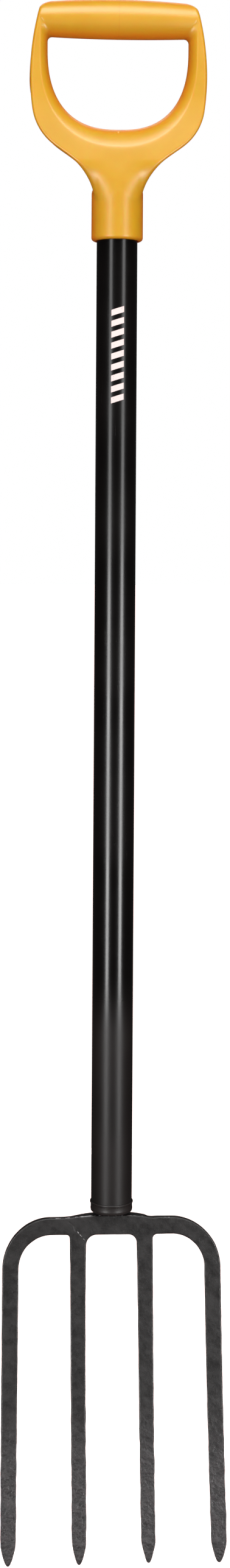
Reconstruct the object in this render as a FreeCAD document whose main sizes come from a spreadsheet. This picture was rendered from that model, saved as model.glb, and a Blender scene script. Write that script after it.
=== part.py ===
import FreeCAD, Part
import math
import os
import re

import Sketcher

# Digging fork: a forged four-tine head on a steel tube with a moulded D-handle.
# Frame: origin at the middle of the grip bar, +Z up along the shaft, +X to the right, and the face that
# the user's foot and the soil meet looks along -Y. The tines sweep forward, towards -Y.
# Levels are heights on Z, so everything below the grip bar has a negative level.

SIZES = [
    # alias, millimetres, meaning
    ("bar_dia", 31.0, "grip bar, diameter at its middle"),
    ("bar_end_dia", 27.4, "grip bar, diameter where it meets the arms"),
    ("bar_reach", 58.0, "grip bar, half its length between the arms"),
    ("grip_half_width", 69.9, "handle, half its greatest width"),
    ("grip_side_radius", 200.0, "handle, long outer curve of an arm"),
    ("grip_corner_across", 62.9, "handle, where the arm's outer curve ends beside the bar"),
    ("grip_corner_level", 9.0, "handle, level of that end"),
    ("grip_corner_radius", 6.0, "handle, top corner"),
    ("elbow_across", 67.4, "handle, where the outer curve turns into the elbow"),
    ("elbow_level", -73.5, "handle, level of that turn"),
    ("elbow_radius", 43.7, "handle, elbow under each arm"),
    ("yoke_across", 48.5, "handle, where the elbow runs out into the yoke"),
    ("yoke_level", -101.8, "handle, level of that point"),
    ("throat_across", 37.7, "handle, where the yoke's hollow curve starts"),
    ("throat_level", -109.5, "handle, level of that point"),
    ("throat_radius", 52.0, "handle, hollow curve into the collar"),
    ("throat_end_across", 15.2, "handle, hollow curve's end inside the collar"),
    ("throat_end_level", -151.6, "handle, level of that end"),
    ("window_half_width", 55.3, "hand opening, half its width"),
    ("window_corner_radius", 4.3, "hand opening, top corners"),
    ("window_side_radius", 150.0, "hand opening, side curve"),
    ("window_side_across", 51.0, "hand opening, where the side curve ends"),
    ("window_side_level", -54.0, "hand opening, level of that end"),
    ("window_elbow_radius", 42.3, "hand opening, lower corners"),
    ("window_floor_across", 24.0, "hand opening, where the floor curve starts"),
    ("window_floor_level", -82.8, "hand opening, level of that point"),
    ("window_floor_radius", 95.0, "hand opening, floor curve"),
    ("arm_half_depth", 13.0, "handle, half the depth of its arms"),
    ("arm_flat_level", -62.0, "handle, level where the arms start to thicken into the yoke"),
    ("yoke_half_depth", 16.0, "handle, half the depth of the yoke above the collar"),
    ("window_round", 5.0, "handle, rounding of the hand opening's edges"),
    ("collar_dia", 40.6, "handle collar around the tube"),
    ("collar_shoulder_level", -126.0, "handle collar, level where its cone starts"),
    ("collar_cone_level", -98.0, "handle collar, level of the cone's small end"),
    ("collar_cone_dia", 26.0, "handle collar, diameter of the cone's small end"),
    ("collar_foot", -174.0, "handle collar, lower rim"),
    ("collar_round", 2.6, "handle collar, rounding of its lower rim"),
    ("tube_dia", 32.0, "steel tube, outside diameter"),
    ("tube_wall", 1.2, "steel tube, wall"),
    ("tube_head", -122.0, "steel tube, upper end, bottomed in the collar"),
    ("tube_foot", -932.8, "steel tube, lower end"),
    ("screw_level", -151.0, "handle screw, level"),
    ("screw_head_dia", 9.0, "handle screw, countersunk head"),
    ("screw_dia", 4.2, "handle screw, shank"),
    ("screw_length", 12.5, "handle screw, overall length"),
    ("screw_sink", 0.6, "handle screw, depth of the head below the collar's surface"),
    ("recess_reach", 2.5, "handle screw, half the span of its cross recess"),
    ("recess_half_width", 0.6, "handle screw, half the width of the recess's arms"),
    ("recess_depth", 1.8, "handle screw, depth of the recess"),
    ("fit_gap", 0.05, "radial clearance of sliding and pressed fits"),
    ("cap_lip_dia", 33.8, "ferrule cap, rolled lip"),
    ("cap_lip_round", 0.5, "ferrule cap, rounding of the lip"),
    ("cap_lip_height", 1.3, "ferrule cap, height of the lip"),
    ("cap_dia", 33.2, "ferrule cap, body"),
    ("cap_waist_sink", 0.15, "ferrule cap, depth of the shallow waist in its body"),
    ("cap_waist_top", 2.2, "ferrule cap, waist's start below the rim"),
    ("cap_waist_end", 4.6, "ferrule cap, waist's end below the rim"),
    ("cap_waist_slope", 0.6, "ferrule cap, height of the slope out of the waist"),
    ("cap_head", -925.8, "ferrule cap, upper rim"),
    ("cap_floor", 1.2, "ferrule cap, thickness of its floor"),
    ("cap_curl", 1.6, "ferrule cap, bottom rounding"),
    ("neck_dia", 29.4, "forged neck that enters the tube"),
    ("neck_head", -924.0, "forged neck, upper face"),
    ("neck_shoulder", -934.6, "forged neck, level where it starts to narrow under the cap"),
    ("neck_foot", -941.0, "forged neck, level where it is lost in the crossbar"),
    ("neck_foot_dia", 11.0, "forged neck, diameter there"),
    ("tang_root_dia", 20.0, "tang, diameter on the neck"),
    ("tang_waist_dia", 15.0, "tang, diameter under its upset head"),
    ("tang_waist_level", -852.0, "tang, level of that waist"),
    ("tang_head_dia", 19.0, "tang, upset head"),
    ("tang_head_level", -838.0, "tang, top of the upset head"),
    ("tang_flare", 3.0, "tang, height of the slope under its upset head"),
    ("bush_head", -830.0, "tang bush, upper end"),
    ("pin_dia", 6.0, "cross pin"),
    ("pin_level", -888.0, "cross pin, level"),
    ("pin_sink", 0.15, "cross pin, depth of its ends below the tube's surface"),
    ("pin_chamfer", 0.5, "cross pin, chamfer"),
    ("tine_pitch", 52.75, "spacing of the tines"),
    ("outer_tine_width", 12.9, "outer tines, width at the crossbar"),
    ("inner_tine_width", 12.0, "inner tines, width at the crossbar"),
    ("outer_point_width", 12.2, "outer tines, width where the point starts"),
    ("inner_point_width", 11.2, "inner tines, width where the point starts"),
    ("point_splay", 1.2, "outer tines, outward lean at the points"),
    ("tip_width", 3.3, "tines, width of the blunt tip"),
    ("bend_level", -976.0, "shoulder bend, level of its centre"),
    ("bend_radius", 38.0, "shoulder bend, outer radius"),
    ("crossbar_head", -936.0, "crossbar, top at its middle"),
    ("middle_gap_radius", 6.5, "middle gap, top corners"),
    ("side_gap_radius", 3.2, "side gaps, corner beside the inner tine"),
    ("point_level", -1164.0, "tines, level where the points start"),
    ("tip_level", -1183.2, "tines, level of the tips"),
    ("head_front", 6.2, "crossbar, front face ahead of the shaft's axis"),
    ("head_back", 5.6, "crossbar, back face behind the shaft's axis"),
    ("sweep_start_level", -948.0, "level where the forward sweep starts"),
    ("sweep_radius", 1010.0, "forward sweep of the tines, seen from the side"),
    ("point_front", 57.2, "points' start, front face ahead of the axis"),
    ("point_depth", 7.0, "tines, depth where the points start"),
    ("tip_front", 63.4, "tips, front face ahead of the axis"),
    ("tip_depth", 2.6, "tips, depth"),
    ("hump_across", 33.0, "rear web of the forging, half its width"),
    ("hump_back", 11.0, "rear web of the forging, reach behind the axis"),
    ("hump_head_bevel", 3.0, "rear web of the forging, bevel along its top"),
    ("hump_foot_slope", 4.0, "rear web of the forging, height of the slope at its foot"),
]

# Places that several sub-parts share, as formulas of the sizes.
WINDOW_HEAD = "(-bar_end_dia / 2 + 0.5)"
WINDOW_FLOOR = (
    "(window_floor_level - window_floor_radius"
    " + sqrt(window_floor_radius^2 - window_floor_across^2))"
)
TUBE_BORE_RADIUS = "(tube_dia / 2 - tube_wall)"
SCREW_SEAT = "(collar_dia / 2 - screw_sink)"
SCREW_CONE = "((screw_head_dia - screw_dia) / 2)"
CROSSBAR_FOOT = "(bend_level + bend_radius - outer_tine_width)"


def make_sheet(doc):
    sheet = doc.addObject("Spreadsheet::Sheet", "Sizes")
    for row, (alias, number, meaning) in enumerate(SIZES, start=1):
        sheet.set(f"A{row}", alias)
        sheet.set(f"B{row}", str(number))
        sheet.setAlias(f"B{row}", alias)
        sheet.set(f"C{row}", meaning)
    doc.recompute()
    return sheet


class Builder:
    """Draws bodies whose sketches and features are bound to the size sheet."""

    def __init__(self, doc, sheet):
        self.doc = doc
        self.sheet = sheet
        self.aliases = {alias for alias, _, _ in SIZES}

    def bound(self, formula):
        """The formula with each alias written as a cell of the sheet."""
        return re.sub(r"[a-z_]+", lambda m: f"Sizes.{m[0]}" if m[0] in self.aliases else m[0], formula)

    def value(self, formula):
        return float(self.sheet.evalExpression(formula))

    def body(self, name):
        body = self.doc.addObject("PartDesign::Body", name)
        body.Label = name
        return body

    def sketch(self, body, role, name):
        plane = next(item for item in body.Origin.OriginFeatures if item.Role == role)
        sketch = body.newObject("Sketcher::SketchObject", name)
        sketch.AttachmentSupport = [(plane, "")]
        sketch.MapMode = "FlatFace"
        return sketch

    def constrain(self, sketch, kind, *places, formula):
        """Add a dimension and bind it to the formula."""
        index = sketch.addConstraint(Sketcher.Constraint(kind, *places, self.value(formula)))
        name = f"dim{index}"
        sketch.renameConstraint(index, name)
        sketch.setExpression(f"Constraints.{name}", self.bound(formula))

    def outline(self, sketch, corners):
        """Draw a closed outline.

        Each corner is (across, up, radius): two formulas for its place, and the radius of the arc that leads
        to the next corner, or None for a straight edge. A leading minus bends the arc the other way.
        """
        places = [FreeCAD.Vector(self.value(x), self.value(y), 0) for x, y, _ in corners]
        edges = []
        for index, (_, _, radius) in enumerate(corners):
            start = places[index]
            end = places[(index + 1) % len(places)]
            if radius is None:
                edge = sketch.addGeometry(Part.LineSegment(start, end))
            else:
                edge = sketch.addGeometry(arc_between(start, end, self.value(radius)))
            starts_here = (sketch.getPoint(edge, 1) - start).Length < 1e-6
            edges.append((edge, 1, 2) if starts_here else (edge, 2, 1))
        for index, (across, up, radius) in enumerate(corners):
            edge, start, _ = edges[index]
            before, _, before_end = edges[index - 1]
            sketch.addConstraint(Sketcher.Constraint("Coincident", before, before_end, edge, start))
            self.constrain(sketch, "DistanceX", -1, 1, edge, start, formula=across)
            self.constrain(sketch, "DistanceY", -1, 1, edge, start, formula=up)
            if radius is not None:
                self.constrain(sketch, "Radius", edge, formula=radius.lstrip("-"))

    def circle(self, sketch, across, up, radius):
        centre = FreeCAD.Vector(self.value(across), self.value(up), 0)
        normal = FreeCAD.Vector(0, 0, 1)
        edge = sketch.addGeometry(Part.Circle(centre, normal, self.value(radius)))
        self.constrain(sketch, "DistanceX", -1, 1, edge, 3, formula=across)
        self.constrain(sketch, "DistanceY", -1, 1, edge, 3, formula=up)
        self.constrain(sketch, "Radius", edge, formula=radius)

    def feature(self, body, kind, name, sketch, **settings):
        feature = body.newObject(f"PartDesign::{kind}", name)
        feature.Profile = sketch
        for key, setting in settings.items():
            setattr(feature, key, setting)
        self.doc.recompute()
        return feature

    def pad(self, body, name, sketch, length):
        """A pad reaching equally to both sides of its sketch."""
        pad = self.feature(body, "Pad", name, sketch, Midplane=True)
        pad.setExpression("Length", self.bound(length))
        self.doc.recompute()
        return pad

    def cut_through(self, body, name, sketch):
        """Remove the sketch's area along its whole normal, both ways."""
        before = body.Shape.Volume
        pocket = self.feature(body, "Pocket", name, sketch, Type="ThroughAll", Midplane=True)
        if not pocket.Shape.Volume < before:
            raise RuntimeError(f"{name} cut nothing")
        return pocket

    def revolve(self, body, name, sketch, axis="V_Axis", angle=360.0):
        return self.feature(body, "Revolution", name, sketch, ReferenceAxis=(sketch, [axis]), Angle=angle)

    def groove(self, body, name, sketch, axis="V_Axis"):
        before = body.Shape.Volume
        groove = self.feature(body, "Groove", name, sketch, ReferenceAxis=(sketch, [axis]), Angle=360.0)
        if not groove.Shape.Volume < before:
            raise RuntimeError(f"{name} cut nothing")
        return groove

    def round_edges(self, body, name, wanted, radius):
        """Fillet the edges that the test accepts, given the points sampled along each."""
        base = body.Tip
        edges = enumerate(base.Shape.Edges, start=1)
        names = [f"Edge{index}" for index, edge in edges if wanted(edge.discretize(9))]
        fillet = body.newObject("PartDesign::Fillet", name)
        fillet.Base = (base, names)
        fillet.setExpression("Radius", self.bound(radius))
        self.doc.recompute()
        return fillet

    def mirror_across_yz(self, body, name, originals):
        plane = next(item for item in body.Origin.OriginFeatures if item.Role == "YZ_Plane")
        mirrored = body.newObject("PartDesign::Mirrored", name)
        mirrored.Originals = originals
        mirrored.MirrorPlane = (plane, [""])
        body.Tip = mirrored
        self.doc.recompute()
        return mirrored


def arc_between(start, end, radius):
    """The shorter arc from start to end. A positive radius bulges to the left of the way travelled."""
    chord = end - start
    half = chord.Length / 2
    size = abs(radius)
    sagitta = size - math.sqrt(size * size - half * half)
    left = FreeCAD.Vector(-chord.y, chord.x, 0).normalize()
    middle = (start + end) * 0.5 + left * math.copysign(sagitta, radius)
    return Part.Arc(start, middle, end)


def plain(*points):
    """Corners of an outline with straight edges only."""
    return [(across, up, None) for across, up in points]


def handle_half_outline():
    """Right half of the handle seen from the front: arm, elbow, yoke and the hand opening's edge."""
    return [
        ("0", "bar_end_dia / 2", None),
        ("grip_corner_across - grip_corner_radius", "bar_end_dia / 2", "grip_corner_radius"),
        ("grip_corner_across", "grip_corner_level", "grip_side_radius"),
        ("elbow_across", "elbow_level", "elbow_radius"),
        ("yoke_across", "yoke_level", None),
        ("throat_across", "throat_level", "-throat_radius"),
        ("throat_end_across", "throat_end_level", None),
        ("0", "throat_end_level", None),
        ("0", WINDOW_FLOOR, "-window_floor_radius"),
        ("window_floor_across", "window_floor_level", "-window_elbow_radius"),
        ("window_side_across", "window_side_level", "-window_side_radius"),
        ("window_half_width", f"{WINDOW_HEAD} - window_corner_radius", "-window_corner_radius"),
        ("window_half_width - window_corner_radius", WINDOW_HEAD, None),
        ("0", WINDOW_HEAD, None),
    ]


def handle_side_outline():
    """Depth of the handle seen from the side: round at the bar, flat arms, thicker yoke."""
    back = [
        ("0", "bar_end_dia / 2", "bar_end_dia / 2"),
        ("bar_end_dia / 2", "0", None),
        ("arm_half_depth", "arm_flat_level", None),
        ("yoke_half_depth", "collar_shoulder_level", None),
        ("arm_half_depth", "throat_end_level - 1", None),
    ]
    front = [(f"-({across})", up, None) for across, up, _ in reversed(back[1:])]
    front[-1] = (front[-1][0], front[-1][1], "bar_end_dia / 2")
    return back + front


def surround(reach, low, high):
    """A rectangle well clear of a side outline, so that the area between the two can be cut away."""
    return plain((f"-{reach}", low), (f"-{reach}", high), (reach, high), (reach, low))


def make_handle(draw):
    body = draw.body("d_handle")
    half = draw.sketch(body, "XZ_Plane", "handle_front")
    draw.outline(half, handle_half_outline())
    right = draw.pad(body, "handle_right_half", half, "collar_dia + 10")
    draw.mirror_across_yz(body, "handle_both_halves", [right])

    side = draw.sketch(body, "YZ_Plane", "handle_depth")
    draw.outline(side, surround("collar_dia", "throat_end_level - 20", "bar_dia"))
    draw.outline(side, handle_side_outline())
    draw.cut_through(body, "handle_depth_cut", side)

    face_depth = draw.value("arm_half_depth") - 0.5
    window_side = draw.value("window_half_width") + 0.1
    window_head = draw.value(WINDOW_HEAD) + 0.1
    window_floor = draw.value(WINDOW_FLOOR) - 0.1

    def on_window(points):
        return all(
            abs(p.y) > face_depth and abs(p.x) < window_side and window_floor < p.z < window_head
            for p in points
        )

    draw.round_edges(body, "window_rounding", on_window, "window_round")

    bar = draw.sketch(body, "XZ_Plane", "bar_profile")
    bulge = "(bar_reach^2 + (bar_dia - bar_end_dia)^2 / 4) / (bar_dia - bar_end_dia)"
    draw.outline(bar, [
        ("-bar_reach", "0", None),
        ("-bar_reach", "bar_end_dia / 2", bulge),
        ("bar_reach", "bar_end_dia / 2", None),
        ("bar_reach", "0", None),
    ])
    draw.revolve(body, "grip_bar", bar, axis="H_Axis")

    collar = draw.sketch(body, "XZ_Plane", "collar_profile")
    draw.outline(collar, [
        ("0", "collar_cone_level", None),
        ("collar_cone_dia / 2", "collar_cone_level", None),
        ("collar_dia / 2", "collar_shoulder_level", None),
        ("collar_dia / 2", "collar_foot + collar_round", "collar_round"),
        ("collar_dia / 2 - collar_round", "collar_foot", None),
        ("0", "collar_foot", None),
    ])
    draw.revolve(body, "collar", collar)

    bore = draw.sketch(body, "XZ_Plane", "socket_profile")
    draw.outline(bore, plain(
        ("0", "tube_head"),
        ("tube_dia / 2 + fit_gap", "tube_head"),
        ("tube_dia / 2 + fit_gap", "collar_foot - 1"),
        ("0", "collar_foot - 1"),
    ))
    draw.groove(body, "tube_socket", bore)

    hole = draw.sketch(body, "YZ_Plane", "screw_hole_profile")
    draw.outline(hole, plain(
        ("tube_dia / 4", "screw_level"),
        ("tube_dia / 4", "screw_level + screw_dia / 2"),
        (f"{SCREW_SEAT} - {SCREW_CONE}", "screw_level + screw_dia / 2"),
        (SCREW_SEAT, "screw_level + screw_head_dia / 2"),
        ("collar_dia", "screw_level + screw_head_dia / 2"),
        ("collar_dia", "screw_level"),
    ))
    axis = hole.addGeometry(Part.LineSegment(
        FreeCAD.Vector(0, draw.value("screw_level"), 0),
        FreeCAD.Vector(draw.value("tube_dia"), draw.value("screw_level"), 0),
    ), True)
    for end, across in ((1, "0"), (2, "tube_dia")):
        draw.constrain(hole, "DistanceX", -1, 1, axis, end, formula=across)
        draw.constrain(hole, "DistanceY", -1, 1, axis, end, formula="screw_level")
    draw.groove(body, "screw_hole", hole, axis="Axis0")
    return body


def make_screw(draw):
    """Countersunk self-tapping screw, drawn along its own Z axis with the head's face at zero."""
    body = draw.body("handle_screw")
    profile = draw.sketch(body, "XZ_Plane", "screw_profile")
    draw.outline(profile, plain(
        ("0", "0"),
        ("screw_head_dia / 2", "0"),
        ("screw_dia / 2", f"-{SCREW_CONE}"),
        ("screw_dia / 2", "-screw_length + screw_dia / 2"),
        ("0", "-screw_length"),
    ))
    draw.revolve(body, "screw_turned", profile)
    arm, slot = "recess_reach", "recess_half_width"
    recess = draw.sketch(body, "XY_Plane", "screw_recess")
    draw.outline(recess, plain(
        (slot, arm), (slot, slot), (arm, slot), (arm, f"-{slot}"), (slot, f"-{slot}"), (slot, f"-{arm}"),
        (f"-{slot}", f"-{arm}"), (f"-{slot}", f"-{slot}"), (f"-{arm}", f"-{slot}"), (f"-{arm}", slot),
        (f"-{slot}", slot), (f"-{slot}", arm),
    ))
    before = body.Shape.Volume
    pocket = draw.feature(body, "Pocket", "cross_recess", recess)
    pocket.setExpression("Length", draw.bound("recess_depth"))
    draw.doc.recompute()
    if not pocket.Shape.Volume < before:
        raise RuntimeError("the cross recess cut nothing")
    towards_back = FreeCAD.Rotation(FreeCAD.Vector(1, 0, 0), -90)
    body.Placement = FreeCAD.Placement(FreeCAD.Vector(), towards_back)
    body.setExpression(".Placement.Base.y", draw.bound(SCREW_SEAT))
    body.setExpression(".Placement.Base.z", draw.bound("screw_level"))
    return body


def make_tube(draw):
    body = draw.body("shaft_tube")
    wall = draw.sketch(body, "XZ_Plane", "tube_profile")
    draw.outline(wall, plain(
        (TUBE_BORE_RADIUS, "tube_foot"),
        (TUBE_BORE_RADIUS, "tube_head"),
        ("tube_dia / 2", "tube_head"),
        ("tube_dia / 2", "tube_foot"),
    ))
    draw.revolve(body, "tube", wall)
    pin_hole = draw.sketch(body, "YZ_Plane", "pin_hole")
    draw.circle(pin_hole, "0", "pin_level", "pin_dia / 2 + fit_gap")
    draw.cut_through(body, "pin_holes", pin_hole)
    screw_hole = draw.sketch(body, "XZ_Plane", "screw_pilot")
    draw.circle(screw_hole, "0", "screw_level", "screw_dia / 2")
    before = body.Shape.Volume
    pilot = draw.feature(body, "Pocket", "screw_pilot_hole", screw_hole, Type="ThroughAll")
    if not pilot.Shape.Volume < before:
        raise RuntimeError("the screw pilot hole cut nothing")
    return body


def make_cap(draw):
    """Thin black cup that closes the tube's foot around the forged neck."""
    body = draw.body("ferrule_cap")
    profile = draw.sketch(body, "XZ_Plane", "cap_profile")
    bore = "tube_dia / 2 + fit_gap"
    foot = "tube_foot - cap_floor"
    waist = "cap_dia / 2 - cap_waist_sink"
    draw.outline(profile, [
        (bore, "cap_head", None),
        ("cap_lip_dia / 2 - cap_lip_round", "cap_head", "cap_lip_round"),
        ("cap_lip_dia / 2", "cap_head - cap_lip_round", None),
        ("cap_lip_dia / 2", "cap_head - cap_lip_height", None),
        (waist, "cap_head - cap_waist_top", None),
        (waist, "cap_head - cap_waist_end", None),
        ("cap_dia / 2", "cap_head - cap_waist_end - cap_waist_slope", None),
        ("cap_dia / 2", f"{foot} + cap_curl", "cap_curl"),
        ("cap_dia / 2 - cap_curl", foot, None),
        ("neck_dia / 2 + fit_gap", foot, None),
        ("neck_dia / 2 + fit_gap", "tube_foot", None),
        (bore, "tube_foot", None),
    ])
    draw.revolve(body, "cap", profile)
    return body


def make_bush_half(draw, name, turn):
    """Half of the split bush that packs the tube around the tang. The other half is the same, turned round."""
    body = draw.body(name)
    profile = draw.sketch(body, "YZ_Plane", f"{name}_profile")
    inner_head = "tang_head_dia / 2 + fit_gap"
    draw.outline(profile, plain(
        ("tang_root_dia / 2 + fit_gap", "neck_head"),
        ("tang_waist_dia / 2 + fit_gap", "tang_waist_level"),
        (inner_head, "tang_waist_level + tang_flare"),
        (inner_head, "tang_head_level + fit_gap"),
        ("0", "tang_head_level + fit_gap"),
        ("0", "bush_head"),
        (f"{TUBE_BORE_RADIUS} - fit_gap", "bush_head"),
        (f"{TUBE_BORE_RADIUS} - fit_gap", "neck_head"),
    ))
    draw.revolve(body, f"{name}_turned", profile, angle=180.0)
    pin_hole = draw.sketch(body, "YZ_Plane", f"{name}_pin_hole")
    draw.circle(pin_hole, "0", "pin_level", "pin_dia / 2 + fit_gap")
    draw.cut_through(body, f"{name}_pin_cut", pin_hole)
    body.Placement = FreeCAD.Placement(
        FreeCAD.Vector(), FreeCAD.Rotation(FreeCAD.Vector(0, 0, 1), turn)
    )
    return body


def make_pin(draw):
    """Cross pin, drawn along its own Z axis and laid across the tube."""
    body = draw.body("tang_pin")
    profile = draw.sketch(body, "XZ_Plane", "pin_profile")
    end = "(tube_dia / 2 - pin_sink)"
    draw.outline(profile, plain(
        ("0", f"-{end}"),
        ("0", end),
        ("pin_dia / 2 - pin_chamfer", end),
        ("pin_dia / 2", f"{end} - pin_chamfer"),
        ("pin_dia / 2", f"-{end} + pin_chamfer"),
        ("pin_dia / 2 - pin_chamfer", f"-{end}"),
    ))
    draw.revolve(body, "pin", profile)
    body.Placement = FreeCAD.Placement(
        FreeCAD.Vector(), FreeCAD.Rotation(FreeCAD.Vector(0, 1, 0), 90)
    )
    body.setExpression(".Placement.Base.z", draw.bound("pin_level"))
    return body


def tine_corners(centre, point_width, splay):
    """A tine from its outer root down round its point and up to its inner root, seen from the front."""
    point_centre = f"{centre} + {splay}"
    return plain(
        (f"{point_centre} + {point_width} / 2", "point_level"),
        (f"{point_centre} + tip_width / 2", "tip_level + 1"),
        (f"{point_centre} + tip_width / 4", "tip_level"),
        (f"{point_centre} - tip_width / 4", "tip_level"),
        (f"{point_centre} - tip_width / 2", "tip_level + 1"),
        (f"{point_centre} - {point_width} / 2", "point_level"),
    )


def head_half_outline():
    """Right half of the crossbar with its two tines, seen from the front."""
    outer_edge = "(1.5 * tine_pitch + outer_tine_width / 2)"
    bend_centre = f"({outer_edge} - bend_radius)"
    inner_right = "(0.5 * tine_pitch + inner_tine_width / 2)"
    inner_left = "(0.5 * tine_pitch - inner_tine_width / 2)"
    return [
        ("0", "crossbar_head", None),
        (bend_centre, "bend_level + bend_radius", "bend_radius"),
        (outer_edge, "bend_level", None),
        *tine_corners("1.5 * tine_pitch", "outer_point_width", "point_splay"),
        (f"{outer_edge} - outer_tine_width", "bend_level", "-(bend_radius - outer_tine_width)"),
        (bend_centre, CROSSBAR_FOOT, None),
        (f"{inner_right} + side_gap_radius", CROSSBAR_FOOT, "-side_gap_radius"),
        (inner_right, f"{CROSSBAR_FOOT} - side_gap_radius", None),
        *tine_corners("0.5 * tine_pitch", "inner_point_width", "0"),
        (inner_left, f"{CROSSBAR_FOOT} - middle_gap_radius", "-middle_gap_radius"),
        (f"{inner_left} - middle_gap_radius", CROSSBAR_FOOT, None),
        ("0", CROSSBAR_FOOT, None),
    ]


def head_side_outline():
    """Depth and forward sweep of the head seen from the side, with the front at minus."""
    return [
        ("-head_front", "crossbar_head + 1", None),
        ("head_back", "crossbar_head + 1", None),
        ("head_back", "sweep_start_level", "sweep_radius"),
        ("-point_front + point_depth", "point_level", None),
        ("-tip_front + tip_depth", "tip_level - 1", None),
        ("-tip_front", "tip_level - 1", None),
        ("-point_front", "point_level", "-sweep_radius"),
        ("-head_front", "sweep_start_level", None),
    ]


def make_head(draw):
    body = draw.body("fork_head")
    half = draw.sketch(body, "XZ_Plane", "head_front")
    draw.outline(half, head_half_outline())
    right = draw.pad(body, "head_right_half", half, "tip_front * 2 + 20")
    draw.mirror_across_yz(body, "head_both_halves", [right])

    side = draw.sketch(body, "YZ_Plane", "head_depth")
    draw.outline(side, surround("(tip_front + 20)", "tip_level - 20", "crossbar_head + 20"))
    draw.outline(side, head_side_outline())
    draw.cut_through(body, "head_depth_cut", side)

    web = draw.sketch(body, "YZ_Plane", "rear_web_profile")
    draw.outline(web, plain(
        ("0", "crossbar_head"),
        ("hump_back - hump_head_bevel", "crossbar_head"),
        ("hump_back", "crossbar_head - hump_head_bevel"),
        ("hump_back", f"{CROSSBAR_FOOT} + hump_foot_slope"),
        ("head_back", CROSSBAR_FOOT),
        ("0", CROSSBAR_FOOT),
    ))
    draw.pad(body, "rear_web", web, "hump_across * 2")

    tang = draw.sketch(body, "XZ_Plane", "tang_profile")
    draw.outline(tang, plain(
        ("0", "tang_head_level"),
        ("tang_head_dia / 2", "tang_head_level"),
        ("tang_head_dia / 2", "tang_waist_level + tang_flare"),
        ("tang_waist_dia / 2", "tang_waist_level"),
        ("tang_root_dia / 2", "neck_head"),
        ("neck_dia / 2", "neck_head"),
        ("neck_dia / 2", "neck_shoulder"),
        ("neck_foot_dia / 2", "neck_foot"),
        ("0", "neck_foot"),
    ))
    draw.revolve(body, "neck_and_tang", tang)

    pin_hole = draw.sketch(body, "YZ_Plane", "tang_pin_hole")
    draw.circle(pin_hole, "0", "pin_level", "pin_dia / 2 + fit_gap")
    draw.cut_through(body, "tang_pin_cut", pin_hole)
    return body


def check(doc, parts):
    """Stop before anything is written if any object failed or any sub-part is not one sound solid."""
    for item in doc.Objects:
        if "Invalid" in item.State or "Error" in item.State:
            raise RuntimeError(f"{item.Name} failed: {item.State}")
    for part in parts:
        shape = part.Shape
        if shape.isNull() or not shape.isValid() or len(shape.Solids) != 1:
            raise RuntimeError(f"{part.Label} is not one valid solid")


def main():
    doc = FreeCAD.newDocument("digging_fork")
    draw = Builder(doc, make_sheet(doc))
    parts = [
        make_handle(draw),
        make_screw(draw),
        make_tube(draw),
        make_cap(draw),
        make_bush_half(draw, "tang_bush_right", 0),
        make_bush_half(draw, "tang_bush_left", 180),
        make_pin(draw),
        make_head(draw),
    ]
    doc.recompute()
    check(doc, parts)
    os.makedirs("parts", exist_ok=True)
    for part in parts:
        part.Shape.exportStep(f"parts/{part.Label}.step")
        box = part.Shape.BoundBox
        print(
            f"{part.Label}: {part.Shape.Volume / 1000:.2f} cm3,"
            f" x {box.XMin:.1f}..{box.XMax:.1f}, y {box.YMin:.1f}..{box.YMax:.1f},"
            f" z {box.ZMin:.1f}..{box.ZMax:.1f}"
        )


main()
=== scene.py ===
import math

import bpy
import numpy as np
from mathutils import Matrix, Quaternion, Vector


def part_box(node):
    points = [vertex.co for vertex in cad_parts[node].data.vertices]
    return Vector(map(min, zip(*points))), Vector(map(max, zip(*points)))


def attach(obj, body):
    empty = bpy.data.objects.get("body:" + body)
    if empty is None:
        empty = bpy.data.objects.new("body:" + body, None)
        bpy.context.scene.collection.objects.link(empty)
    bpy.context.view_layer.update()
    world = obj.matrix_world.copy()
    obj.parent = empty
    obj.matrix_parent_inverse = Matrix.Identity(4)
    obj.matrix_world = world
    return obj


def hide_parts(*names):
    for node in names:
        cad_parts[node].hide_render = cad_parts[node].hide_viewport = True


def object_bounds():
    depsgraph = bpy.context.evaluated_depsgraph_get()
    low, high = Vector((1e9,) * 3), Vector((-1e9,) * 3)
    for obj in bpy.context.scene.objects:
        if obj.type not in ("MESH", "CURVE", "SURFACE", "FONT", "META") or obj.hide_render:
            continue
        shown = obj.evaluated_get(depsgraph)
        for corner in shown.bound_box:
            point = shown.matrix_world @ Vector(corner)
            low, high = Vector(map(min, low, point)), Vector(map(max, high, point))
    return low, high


# A digging fork with a D-handle, in a plain studio. Shapes are worked out in millimetres, as implicit
# surfaces (negative inside, positive outside), and meshed in metres. +Z is up the shaft, the front is -Y.

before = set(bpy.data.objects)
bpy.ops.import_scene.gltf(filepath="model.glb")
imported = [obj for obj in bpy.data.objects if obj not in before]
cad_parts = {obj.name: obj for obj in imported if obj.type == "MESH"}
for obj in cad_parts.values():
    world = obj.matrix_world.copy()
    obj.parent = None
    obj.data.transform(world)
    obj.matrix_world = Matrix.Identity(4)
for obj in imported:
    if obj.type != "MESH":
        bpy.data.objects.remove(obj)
cad_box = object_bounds()

MM = 0.001


def millimetres(node):
    """The lowest and highest corner of a CAD node, in millimetres."""
    low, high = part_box(node)
    return np.array(low) / MM, np.array(high) / MM


HANDLE_LOW, HANDLE_HIGH = millimetres("d_handle")
TUBE_LOW, TUBE_HIGH = millimetres("shaft_tube")
CAP_LOW, CAP_HIGH = millimetres("ferrule_cap")
HEAD_LOW, HEAD_HIGH = millimetres("fork_head")
SCREW_LOW, SCREW_HIGH = millimetres("handle_screw")

TUBE_RADIUS = TUBE_HIGH[0]
COLLAR_FOOT = HANDLE_LOW[2]
COLLAR_RADIUS = HANDLE_HIGH[1]
BAR_RADIUS = HANDLE_HIGH[2]


# ---------------------------------------------------------------- implicit shapes

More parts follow.
